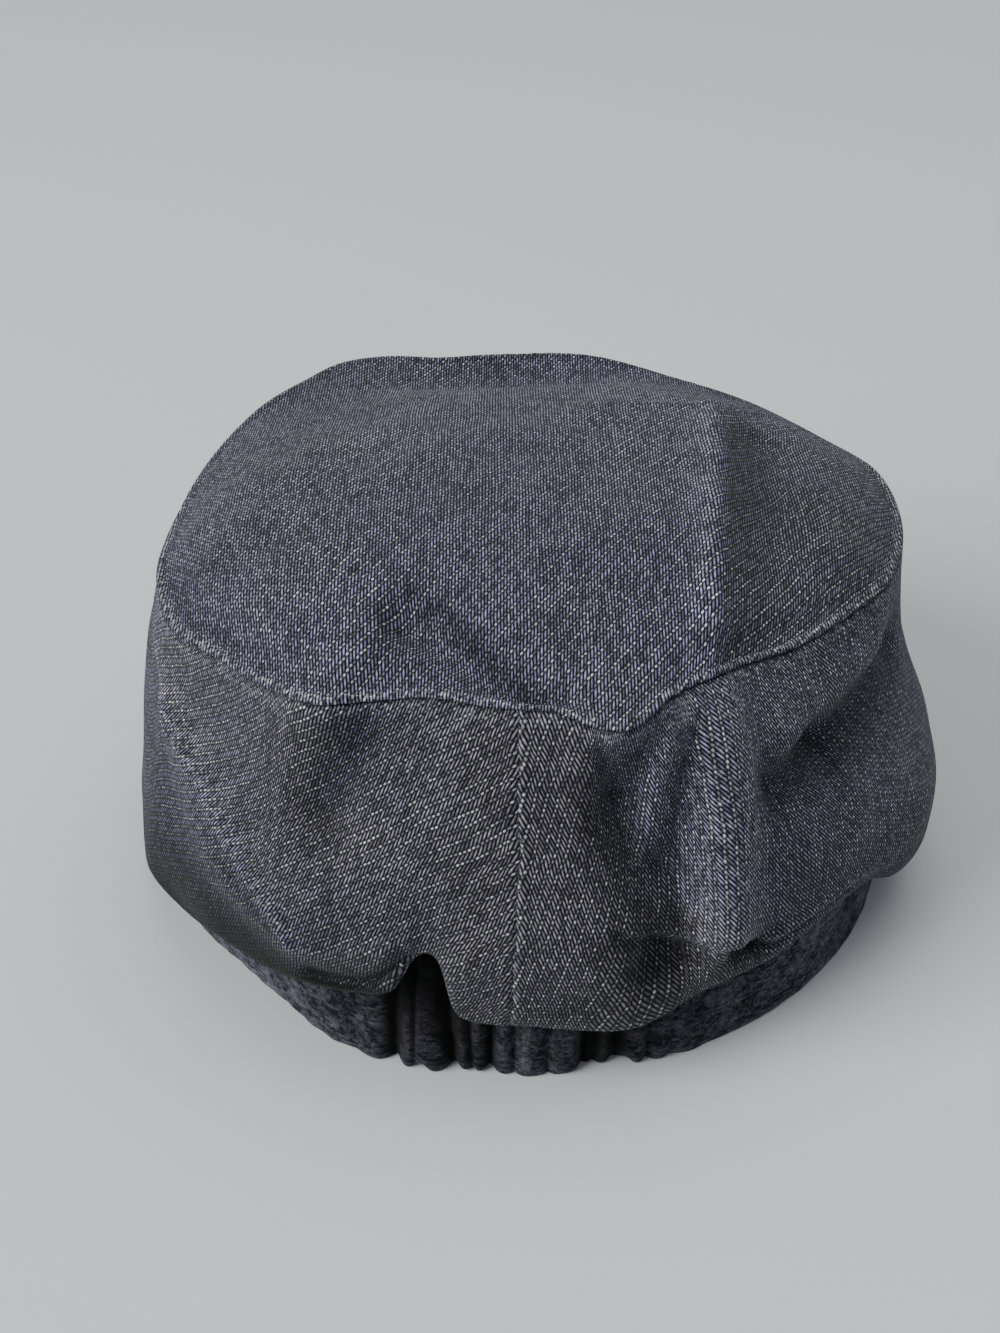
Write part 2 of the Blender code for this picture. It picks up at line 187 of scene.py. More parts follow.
# columns: angle, rise_half, rise_three_quarters, rise_nine_tenths
TIP_SECTIONS = (
    (0, 0.86, 0.44, 0.17),
    (22, 0.89, 0.54, 0.28),
    (45, 0.93, 0.74, 0.45),
    (90, 0.93, 0.66, 0.34),
    (135, 0.80, 0.40, 0.12),
    (180, 0.50, -0.10, -0.08),
    (225, 0.60, 0.16, 0.06),
    (270, 0.85, 0.55, 0.22),
    (315, 0.93, 0.76, 0.48),
    (338, 0.89, 0.54, 0.28),
)
TIP_KNOTS = (-0.5, 0.0, 0.50, 0.75, 0.90, 0.975, 1.0)

# columns: across_1, along_1, across_2, along_2, width, height
TIP_DENTS = (
    (-0.26, -0.70, 0.06, -0.90, 1.3, -0.9),
    (0.53, 0.25, 0.44, -0.66, 1.3, 0.6),
    (0.62, 0.10, 0.58, -0.60, 2.2, -0.45),
)

# columns: angle at mid height, half_width in degrees, depth, lean in degrees from hem to top
GATHERS = (
    (-24.0, 1.5, 0.5, 1.0),
    (-18.4, 1.0, 2.4, 0.4),
    (-15.3, 0.5, 0.7, 0.3),
    (-10.9, 0.8, 2.5, -1.6),
    (-7.9, 0.6, 1.2, -0.8),
    (-4.9, 0.7, 2.1, 0.2),
    (-1.6, 0.5, 0.7, 0.1),
    (3.1, 0.5, 0.6, 0.1),
    (8.2, 0.7, 1.9, 0.2),
    (9.9, 0.8, 1.8, 0.6),
    (13.2, 1.2, 2.6, 0.8),
    (17.6, 0.8, 1.1, 0.6),
    (21.0, 0.8, 0.5, 0.5),
)

# The ridge down the side panel's left: a painted highlight and a little wear along its crest, painted shade on the
# cloth to its left and browner cloth to its right.
# columns: angle, place
LEFT_RIDGE = ((-30, 0.43), (-32, 0.49), (-36, 0.55), (-41, 0.60), (-47.5, 0.67), (-53.5, 0.72), (-60, 0.80), (-66, 0.90))

# How far the headband's hem splays out, in mm.
# columns: angle, splay
HEM_SPLAY = (
    (0, 0.6), (10, 0.8), (17, 1.2), (28, 0.3), (60, 0.0), (180, 0.0), (300, 0.0), (312, -1.2), (322, -0.6),
    (332, 1.8), (341, 3.0), (348, 2.0), (354, 1.0),
)

# Lean of the side panel's lengthwise yarns from upright, in degrees towards growing angle.
# columns: angle, lean
YARN_LEANS = (
    (0, -22), (9, -18), (15, -26), (22, -36), (30, -31), (40, -38), (60, -34), (90, -26), (135, -12),
    (180, 0), (225, 14), (270, 30), (305, 33), (318, 27), (328, 17), (340, 17), (360, 21),
)

# Line of a soft crease over the tip's front.
# columns: across, along, as shares of half the band's width and length
FRONT_CREASE = ((-0.62, 0.30), (-0.34, 0.35), (-0.01, 0.28), (0.20, 0.24), (0.48, 0.26), (0.70, 0.40))


# Line of the sharp crease on the tip's right side, along from front to back.
# columns: across, along, as shares of half the band's width and length
TIP_CREASE = ((0.40, -0.82), (0.445, -0.70), (0.45, -0.59), (0.47, -0.40), (0.49, -0.20), (0.52, 0.13), (0.53, 0.4))


# Ends of a short step on the tip, above the centre-back seam.
# columns: across, along, as shares of half the band's width and length
TIP_STEP = ((-0.25, -0.62), (0.05, -0.89))


def linear(red, green, blue):
    """Linear colour of an sRGB colour whose channels run from 0 to 255."""
    srgb = np.array([red, green, blue]) / 255.0
    low, high = srgb / 12.92, ((srgb + 0.055) / 1.055) ** 2.4
    return tuple(float(c) for c in np.where(srgb <= 0.04045, low, high))


class CapSizes(bpy.types.PropertyGroup):
    """Sizes of the cloth and its weave."""

    cloth: bpy.props.FloatProperty(
        name="Cloth", description="Thickness of the crown's cloth", default=1.3 * MM, unit="LENGTH", precision=4
    )
    warp: bpy.props.FloatProperty(
        name="Warp", description="Distance between lengthwise yarns", default=0.67 * MM, unit="LENGTH", precision=5
    )
    weft: bpy.props.FloatProperty(
        name="Weft", description="Distance between crosswise yarns", default=0.87 * MM, unit="LENGTH", precision=5
    )
    band_yarn: bpy.props.FloatProperty(
        name="Headband yarn", description="Distance between the headband's yarns", default=0.64 * MM, unit="LENGTH",
        precision=5
    )
    seam_roll: bpy.props.FloatProperty(
        name="Seam roll", description="Height of the rolled cloth along a seam", default=0.20 * MM, unit="LENGTH",
        precision=4
    )


class CapColours(bpy.types.PropertyGroup):
    """Colours of the cloth and the stage."""

    indigo: bpy.props.FloatVectorProperty(
        name="Indigo", description="Dark lengthwise yarn", default=linear(5, 6, 14), subtype="COLOR", min=0, max=1
    )
    faded: bpy.props.FloatVectorProperty(
        name="Faded", description="Washed-out lengthwise yarn", default=linear(145, 147, 178), subtype="COLOR", min=0, max=1
    )
    weft: bpy.props.FloatVectorProperty(
        name="Weft", description="Undyed crosswise yarn", default=linear(208, 209, 214), subtype="COLOR", min=0, max=1
    )
    band: bpy.props.FloatVectorProperty(
        name="Headband", description="Headband's darker cloth", default=linear(12, 13, 21), subtype="COLOR", min=0, max=1
    )
    floor: bpy.props.FloatVectorProperty(
        name="Floor", description="Plain pale floor", default=linear(205, 206, 208), subtype="COLOR", min=0, max=1
    )


def blend(start, end, start_slope, end_slope, part):
    """Cubic Hermite blend between two values, given their slopes over the whole step."""
    square, cube = part**2, part**3
    return (
        (2 * cube - 3 * square + 1) * start
        + (cube - 2 * square + part) * start_slope
        + (3 * square - 2 * cube) * end
        + (cube - square) * end_slope
    )


def round_the_cap(table, angle):
    """A table's columns after the first at each angle, by cubic blends between its rows round the full turn."""
    rows = np.asarray(table, float)
    knots = np.concatenate([rows[:, 0] - 360, rows[:, 0], rows[:, 0] + 360])
    values = np.concatenate([rows[:, 1:]] * 3)
    angle = np.mod(angle, 360.0)
    i = np.searchsorted(knots, angle, side="right") - 1
    step = (knots[i + 1] - knots[i])[:, None]

    def slope(k):
        return (values[k + 1] - values[k - 1]) / (knots[k + 1] - knots[k - 1])[:, None]

    part = (angle - knots[i])[:, None] / step
    return blend(values[i], values[i + 1], slope(i) * step, slope(i + 1) * step, part)


def along_profile(points, knots, place):
    """Each row's own profile at that row's place, by cubic blends between its knots; points is (rows, knots, 2)."""
    knots = np.array(knots)
    last = len(knots) - 1
    row = np.arange(len(place))
    i = np.clip(np.searchsorted(knots, place, side="right") - 1, 0, last - 1)
    step = (knots[i + 1] - knots[i])[:, None]

    def slope(k):
        before, after = np.maximum(k - 1, 0), np.minimum(k + 1, last)
        return (points[row, after] - points[row, before]) / (knots[after] - knots[before])[:, None]

    part = (place - knots[i])[:, None] / step
    return blend(points[row, i], points[row, i + 1], slope(i) * step, slope(i + 1) * step, part)


def band_line(angle, out):
    """Oval of the headband at an angle from the centre back, moved out square to it, less the pressed quarter."""
    turn = np.radians(angle)
    half_width, half_length = BAND_WIDTH / 2, BAND_LENGTH / 2
    square = np.stack([half_length * np.sin(turn), -half_width * np.cos(turn)], -1)
    square /= np.linalg.norm(square, axis=-1, keepdims=True)
    line = np.stack([half_width * np.sin(turn), -half_length * np.cos(turn)], -1)
    from_quarter = (np.mod(angle, 360.0) - 310.0) / 22.0
    return line + (out - QUARTER_PRESS * np.exp(-(from_quarter**2)))[:, None] * square


def near_line(first, second, ends, width):
    """Bell curve of the distance to a straight line between two ends in a plane: 1 on it, 0 beyond about a width."""
    start, stop = np.array(ends[:2]), np.array(ends[2:])
    point = np.stack([first, second], -1) - start
    run = stop - start
    part = np.clip(point @ run / (run @ run), 0.0, 1.0)
    return np.exp(-(np.linalg.norm(point - part[:, None] * run, axis=-1) ** 2) / width**2)


def signed(angle):
    """The same angle between -180 and 180."""
    return np.mod(angle + 180.0, 360.0) - 180.0


def waves(first, second, seed, count, longest, shortest):
    """Sum of plane sine waves of seeded directions, lengths and phases over a plane, between about -1 and 1."""
    dice = np.random.default_rng(seed)
    total = np.zeros(len(first))
    for _ in range(count):
        turn, phase = dice.uniform(0, math.pi), dice.uniform(0, 2 * math.pi)
        length = math.exp(dice.uniform(math.log(shortest), math.log(longest)))
        total += np.sin(2 * math.pi * (first * math.cos(turn) + second * math.sin(turn)) / length + phase)
    return total / math.sqrt(count)


def side_folds(angle, place):
    """How far the side panel's folds move it outwards: a bell curve across each fold's line."""
    per_degree = np.pi * (BAND_WIDTH + BAND_LENGTH) / 720
    per_place = SIDE_HEIGHT + BAND_HEIGHT
    lift = np.zeros(len(angle))
    for angle_1, place_1, angle_2, place_2, width, height in SIDE_FOLDS:
        ends = (angle_1 * per_degree, place_1 * per_place, angle_2 * per_degree, place_2 * per_place)
        shape = near_line(signed(angle) * per_degree, place * per_place, ends, width * FOLD)
        lift += height * FOLD * shape
    for width, height, line in FOLD_LINES:
        shape = np.zeros(len(angle))
        for start, stop in zip(line[:-1], line[1:]):
            ends = (start[0] * per_degree, start[1] * per_place, stop[0] * per_degree, stop[1] * per_place)
            shape = np.maximum(shape, near_line(signed(angle) * per_degree, place * per_place, ends, width))
        lift += height * shape
    fade = np.clip((place - 0.25) / 0.1, 0, 1) * np.clip((1.0 - place) / 0.08, 0, 1)
    wrinkles = 0.22 * MM * waves(signed(angle) * per_degree, place * per_place, 11, 14, 40 * MM, 12 * MM)
    return (lift + wrinkles) * fade


def back_seam_shift(angle, place):
    """Degrees by which the centre-back seam wanders from the middle, fading out by about 20 degrees away."""
    wander = np.interp(place, (0.0, 0.25, 0.5, 0.7, 0.85, 1.0), (-2.1, -2.1, -1.5, -1.0, -1.3, -1.1))
    wander += 0.12 * np.sin(place * 37.0) + 0.08 * np.sin(place * 71.0 + 1.0)
    return wander * np.exp(-((signed(angle) / 14.0) ** 2))


def side_surface(angle, place, cloth):
    """Side panel: its profile's knots follow the two section tables, and folds move it square to the oval."""
    seam_angle = angle
    angle = angle + back_seam_shift(angle, place)
    low_out, low_up, belly_out, belly_up = round_the_cap(LOWER_SECTIONS, angle).T
    shoulder_out, shoulder_up, seam_out, seam_up = round_the_cap(UPPER_SECTIONS, angle).T
    hangs = np.clip((1.0 - low_up) / 0.3, 0.0, 1.0)
    clear = SEAM_GAP + cloth / 2
    out = np.stack(
        [
            np.full(len(angle), -BAND_WALL / 2),
            hangs * (clear + 0.6 * cloth) + (1 - hangs) * 0.3 * cloth,
            low_out * SLOUCH,
            belly_out * SLOUCH,
            shoulder_out * SLOUCH,
            seam_out * SLOUCH,
        ],
        -1,
    )
    up = np.stack(
        [
            np.full(len(angle), BAND_HEIGHT + clear),
            BAND_HEIGHT + hangs * 0.1 * cloth + (1 - hangs) * (clear + cloth),
            low_up * BAND_HEIGHT,
            BAND_HEIGHT + belly_up * SIDE_HEIGHT,
            BAND_HEIGHT + shoulder_up * SIDE_HEIGHT,
            BAND_HEIGHT + seam_up * SIDE_HEIGHT,
        ],
        -1,
    )
    point = along_profile(np.stack([out, up], -1), SIDE_KNOTS, place)
    from_seam = np.abs(signed(seam_angle)) * np.pi * BAND_LENGTH / 360
    back_seam = 0.30 * MM * np.exp(-(((from_seam - 1.5 * MM) / (0.8 * MM)) ** 2))
    back_seam -= 0.55 * MM * np.exp(-((from_seam / (0.45 * MM)) ** 2))
    turned_in = np.clip((place - 0.984) / 0.016, 0.0, 1.0) ** 2
    line = band_line(angle, point[:, 0] + side_folds(angle, place) + back_seam - 0.55 * MM * turned_in)
    return np.column_stack([line, point[:, 1]]) + CENTRE


def beside_crease(across, along):
    """Distance across to the right of the tip's sharp crease, and 1 along it fading to 0 past its ends."""
    line = np.array(TIP_CREASE) * np.array([BAND_WIDTH, BAND_LENGTH]) / 2
    run = along / (BAND_LENGTH / 2)
    strength = np.clip((run + 0.90) / 0.14, 0.0, 1.0) * np.clip((0.42 - run) / 0.35, 0.0, 1.0)
    return across - np.interp(along, line[:, 1], line[:, 0]), strength


def beside_step(across, along):
    """Distance square to the tip's short step, growing towards the back left, and 1 along it fading to 0 past it."""
    half = np.array([BAND_WIDTH, BAND_LENGTH]) / 2
    start, stop = TIP_STEP[0] * half, TIP_STEP[1] * half
    run = stop - start
    length = np.hypot(*run)
    x, y = across - start[0], along - start[1]
    part = (x * run[0] + y * run[1]) / length**2
    strength = np.clip((part + 0.2) / 0.25, 0.0, 1.0) * np.clip((1.15 - part) / 0.2, 0.0, 1.0)
    return (run[1] * x - run[0] * y) / length, strength


def tip_surface(angle, reach, cloth, roll):
    """Tip: the seam's outline drawn in towards the middle, raised by the tip's sections and dented along lines."""
    seam_out, seam_up = round_the_cap(UPPER_SECTIONS, angle).T[2:]
    edge = band_line(angle, seam_out * SLOUCH + 0.1 * MM)
    edge_up = BAND_HEIGHT + seam_up * SIDE_HEIGHT + 0.8 * cloth + SEAM_GAP
    half, three_quarters, nine_tenths = round_the_cap(TIP_SECTIONS, angle).T
    none = np.zeros(len(angle))
    rise = np.stack([half, none + 1.0, half, three_quarters, nine_tenths, none, none], -1)
    rise = along_profile(np.stack([rise, rise], -1), TIP_KNOTS, reach)[:, 0]
    level = BAND_HEIGHT + SIDE_HEIGHT + 0.8 * cloth + SEAM_GAP
    up = level + (edge_up - level) * reach**4 + rise * TIP_RISE
    even = band_line(angle, np.full(len(angle), -0.5 * SLOUCH))
    line = (even + (edge - even) * reach[:, None] ** 4) * reach[:, None]
    inside = np.clip((1.0 - reach) / 0.06, 0.0, 1.0)
    for across_1, along_1, across_2, along_2, width, height in TIP_DENTS:
        ends = (
            across_1 * BAND_WIDTH / 2,
            along_1 * BAND_LENGTH / 2,
            across_2 * BAND_WIDTH / 2,
            along_2 * BAND_LENGTH / 2,
        )
        up = up + height * DENT * inside * near_line(line[:, 0], line[:, 1], ends, width * DENT)
    crease = np.zeros(len(angle))
    for start, stop in zip(FRONT_CREASE[:-1], FRONT_CREASE[1:]):
        half = np.array([BAND_WIDTH, BAND_LENGTH]) / 2
        ends = np.concatenate([start * half, stop * half])
        crease = np.maximum(crease, near_line(line[:, 0], line[:, 1], ends, 1.6 * MM))
    up += 0.5 * MM * inside * crease
    right, strength = beside_crease(line[:, 0], line[:, 1])
    drop = 0.5 + 0.5 * np.tanh(right / (0.9 * MM))
    up -= 1.5 * MM * inside * strength * drop * np.exp(-((np.maximum(right, 0.0) / (15 * MM)) ** 2))
    up += 0.5 * MM * inside * strength * np.exp(-(((right + 2.2 * MM) / (2.5 * MM)) ** 2))
    left, strength = beside_step(line[:, 0], line[:, 1])
    fall = (0.5 + 0.5 * np.tanh(left / (1.1 * MM))) * np.exp(-((np.maximum(left, 0.0) / (12 * MM)) ** 2))
    up -= 1.5 * MM * inside * strength * fall
    up += 0.25 * MM * inside * waves(line[:, 0], line[:, 1], 5, 14, 45 * MM, 14 * MM)
    along = signed(angle) * np.pi * (BAND_WIDTH + BAND_LENGTH) / 720
    pucker = waves(along, none, 3, 9, 9 * MM, 2.2 * MM)
    from_edge = (1.0 - reach) * BAND_WIDTH / 2
    up += roll * (1.0 + 0.4 * pucker) * np.exp(-(((from_edge - 2.2 * MM) / (1.3 * MM)) ** 2))
    bend = np.clip(1.0 - from_edge / (1.7 * MM), 0.0, 1.0)
    up -= (1.02 + 0.07 * pucker) * MM * (1.0 - np.sqrt(1.0 - 0.98 * bend**2))
    return np.column_stack([line, up]) + CENTRE


def gather_grooves(angle, height):
    """How deep the headband's gathers press in: a sharp-bottomed valley at each, so the cloth between is rounded."""
    groove = np.zeros(len(angle))
    for place, half_width, depth, lean in GATHERS:
        across = signed(angle - place - lean * (height - 0.5)) / half_width
        groove += depth * GATHER * np.exp(0.35 - np.sqrt(across**2 + 0.12))
    return groove


def band_surface(angle, turn):
    """Headband: a tall thin loop with round ends, turn going once round it from the hem, carried round the oval
    and pressed in at the gathers. The hem splays out by a table and lifts in small arches between gathers."""
    circle = 2 * np.pi * turn
    across = np.sign(np.sin(circle)) * np.abs(np.sin(circle)) ** 0.5 * BAND_WALL / 2
    height = 0.5 - 0.5 * np.sign(np.cos(circle)) * np.abs(np.cos(circle)) ** 0.42
    gathered = np.exp(-(((signed(angle) + 1.0) / 25.0) ** 6))
    groove = gather_grooves(angle, height)
    splay = round_the_cap(HEM_SPLAY, angle)[:, 0] * MM * (1.0 - height) ** 0.8
    roll = 0.9 * MM * gathered * np.sin(np.pi * np.clip(height, 0, 1) ** 0.6)
    waist = 0.35 * MM * gathered * np.exp(-(((height - 0.22) / 0.06) ** 2))
    small = 0.18 * MM * waves(signed(angle) * 1.6 * MM, height * BAND_HEIGHT, 8, 12, 14 * MM, 4 * MM)
    inward = 5.2 * MM * np.tanh(groove / (5.2 * MM))
    arch = np.exp(-(((signed(angle) + 14.3) / 0.9) ** 2)) + 0.7 * np.exp(-(((signed(angle) - 14.4) / 0.8) ** 2))
    lift = (1.9 * MM * arch + 0.12 * inward) * (1.0 - height) ** 3
    out = across - BAND_WALL / 2 - inward + splay + roll - waist + small
    line = band_line(angle, np.minimum(out, across - BAND_WALL / 2 + splay + 0.6 * MM * (1 - height) + 0.1 * MM))
    return np.column_stack([line, height * BAND_HEIGHT + lift]) + CENTRE


def peak_surface(side, turn):
    """Peak: a crescent from the headband's front outwards, side from -1 to 1, arched over its middle. Turn goes from
    0 at the headband over the top to 1 at the rounded edge, and on to 2 at the headband underneath."""
    forward = np.minimum(turn, 2.0 - turn)
    angle = 180.0 - side * PEAK_HALF_TURN
    inner = band_line(angle, np.full(len(angle), SEAM_GAP * 1.5))
    ahead = inner - band_line(angle, np.zeros(len(angle)))
    ahead = ahead / np.linalg.norm(ahead, axis=-1, keepdims=True) + np.array([0.0, 1.0])
    ahead /= np.linalg.norm(ahead, axis=-1, keepdims=True)
    crescent = (1.0 - np.abs(side) ** 2.4) ** 0.6
    length = PEAK_LENGTH * (0.08 + 0.92 * crescent)
    line = inner + ahead * (length * forward)[:, None]
    from_edge = np.clip((1.0 - forward) * length / (PEAK_THICK / 2), 0.0, 1.0)
    half = PEAK_THICK / 2 * np.sqrt(1.0 - (1.0 - from_edge) ** 2) * np.sqrt(1.0 - np.abs(side) ** 24)
    up = 0.6 * PEAK_THICK + PEAK_ARCH * (1.0 - side**2) * (1.0 - 0.3 * forward)
    return np.column_stack([line, up + np.where(turn <= 1.0, half, -half)]) + CENTRE


def spread(count, half_turn, ratio):
    """Angles round the full turn, ratio times closer together near the centre back than far from it."""
    fine = np.linspace(0.0, 360.0, 2881)
    away = np.minimum(fine, 360.0 - fine)
    density = 1.0 + (ratio - 1.0) / (1.0 + (away / half_turn) ** 4)
    density += 6.0 * np.exp(-((away / 1.2) ** 2))
    total = np.concatenate([[0.0], np.cumsum(density[1:] + density[:-1])])
    return np.interp(np.linspace(0.0, total[-1], count), total, fine)


def on_grid(surface, first, second):
    """A surface's points for every pair of values, as an array (first, second, 3)."""
    a, b = np.meshgrid(first, second, indexing="ij")
    return surface(a.ravel(), b.ravel()).reshape(len(first), len(second), 3)


def arc_lengths(points, axis):
    """Distance walked along a grid of points from the start of an axis."""
    step = np.linalg.norm(np.diff(points, axis=axis), axis=-1)
    start = np.zeros_like(np.take(step, [0], axis=axis))
    return np.concatenate([start, np.cumsum(step, axis=axis)], axis=axis)


def grid_object(name, points, cut, marks=None, round_first=False, round_second=False, pole=False, flip=False):
    """A mesh of quads over a grid of points, with its cut pattern as a UV map in metres and marks as attributes."""
    n, m = points.shape[:2]
    index = np.arange(n * m).reshape(n, m)
    rows = np.arange(n) if round_first else np.arange(n - 1)
    cols = np.arange(m) if round_second else np.arange(m - 1)
    i, j = [a.ravel() for a in np.meshgrid(rows, cols, indexing="ij")]
    i2, j2 = (i + 1) % n, (j + 1) % m
    quads = np.stack([index[i, j], index[i2, j], index[i2, j2], index[i, j2]], -1)
    uv = np.stack([cut[i, j], cut[i2, j], cut[i2, j2], cut[i, j2]], 1)
    if flip:
        quads, uv = quads[:, ::-1], uv[:, ::-1]
    mesh = bpy.data.meshes.new(name)
    mesh.vertices.add(n * m)
    mesh.vertices.foreach_set("co", points.reshape(-1).astype(np.float32))
    mesh.loops.add(quads.size)
    mesh.loops.foreach_set("vertex_index", quads.ravel().astype(np.int32))
    mesh.polygons.add(len(quads))
    mesh.polygons.foreach_set("loop_start", np.arange(0, quads.size, 4, dtype=np.int32))
    mesh.polygons.foreach_set("use_smooth", np.ones(len(quads), bool))
    layer = mesh.uv_layers.new(name="cut")
    layer.data.foreach_set("uv", uv.reshape(-1).astype(np.float32))
    for key, values in (marks or {}).items():
        mark = mesh.attributes.new(key, "FLOAT", "POINT")
        mark.data.foreach_set("value", values.reshape(-1).astype(np.float32))
    mesh.update(calc_edges=True)
    mesh.validate()
    if pole:
        work = bmesh.new()
        work.from_mesh(mesh)
        bmesh.ops.remove_doubles(work, verts=work.verts, dist=0.00001)
        work.to_mesh(mesh)
        work.free()
    obj = bpy.data.objects.new(name, mesh)
    bpy.context.scene.collection.objects.link(obj)
    return obj


def thicken(obj, thickness):
    """Gives a sheet its wall, the inner face in its own material."""
    solid = obj.modifiers.new("thickness", "SOLIDIFY")
    solid.thickness = thickness
    solid.offset = 0.0
    solid.use_even_offset = True
    solid.material_offset = 1


class Nodes:
    """Short calls for the nodes of one material."""

    def __init__(self, name):
        self.material = bpy.data.materials.new(name)
        self.material.use_nodes = True
        self.tree = self.material.node_tree
        self.shader = self.tree.nodes["Principled BSDF"]

    def add(self, kind, **settings):
        node = self.tree.nodes.new(kind)
        for key, value in settings.items():
            setattr(node, key, value)
        return node

    def put(self, socket, value):
        if isinstance(value, bpy.types.NodeSocket):
            self.tree.links.new(value, socket)
        elif isinstance(value, tuple) and len(value) == 3 and socket.type == "RGBA":
            socket.default_value = (*value, 1.0)
        else:
            socket.default_value = value

    def calc(self, operation, *values, clamp=False):
        node = self.add("ShaderNodeMath", operation=operation, use_clamp=clamp)
        for socket, value in zip(node.inputs, values):
            self.put(socket, value)
        return node.outputs[0]

    def mix(self, part, first, second, how="MIX"):
        node = self.add("ShaderNodeMix", data_type="RGBA", blend_type=how)
        for socket, value in zip((node.inputs[0], node.inputs[6], node.inputs[7]), (part, first, second)):
            self.put(socket, value)
        return node.outputs[2]

    def noise(self, vector, scale, detail=2.0, roughness=0.5):
        node = self.add("ShaderNodeTexNoise", noise_dimensions="3D")
        self.put(node.inputs["Vector"], vector)
        node.inputs["Scale"].default_value = scale
        node.inputs["Detail"].default_value = detail
        node.inputs["Roughness"].default_value = roughness
        return node.outputs["Fac"]

    def vector(self, x, y, z=0.0):
        node = self.add("ShaderNodeCombineXYZ")
        for socket, value in zip(node.inputs, (x, y, z)):
            self.put(socket, value)
        return node.outputs[0]

    def range(self, value, low, high, new_low, new_high):
        node = self.add("ShaderNodeMapRange")
        for socket, given in zip(node.inputs, (value, low, high, new_low, new_high)):
            self.put(socket, given)
        return node.outputs[0]

    def finish(self, colour, height, distance, roughness, sheen=0.08):
        self.put(self.shader.inputs["Base Color"], colour)
        self.put(self.shader.inputs["Roughness"], roughness)
        self.shader.inputs["Sheen Weight"].default_value = sheen
        self.shader.inputs["Sheen Roughness"].default_value = 0.5
        self.shader.inputs["Specular IOR Level"].default_value = 0.12
        bump = self.add("ShaderNodeBump")
        bump.inputs["Strength"].default_value = 1.0
        bump.inputs["Distance"].default_value = distance
        self.put(bump.inputs["Height"], height)
        self.put(self.shader.inputs["Normal"], bump.outputs[0])
        return self.material


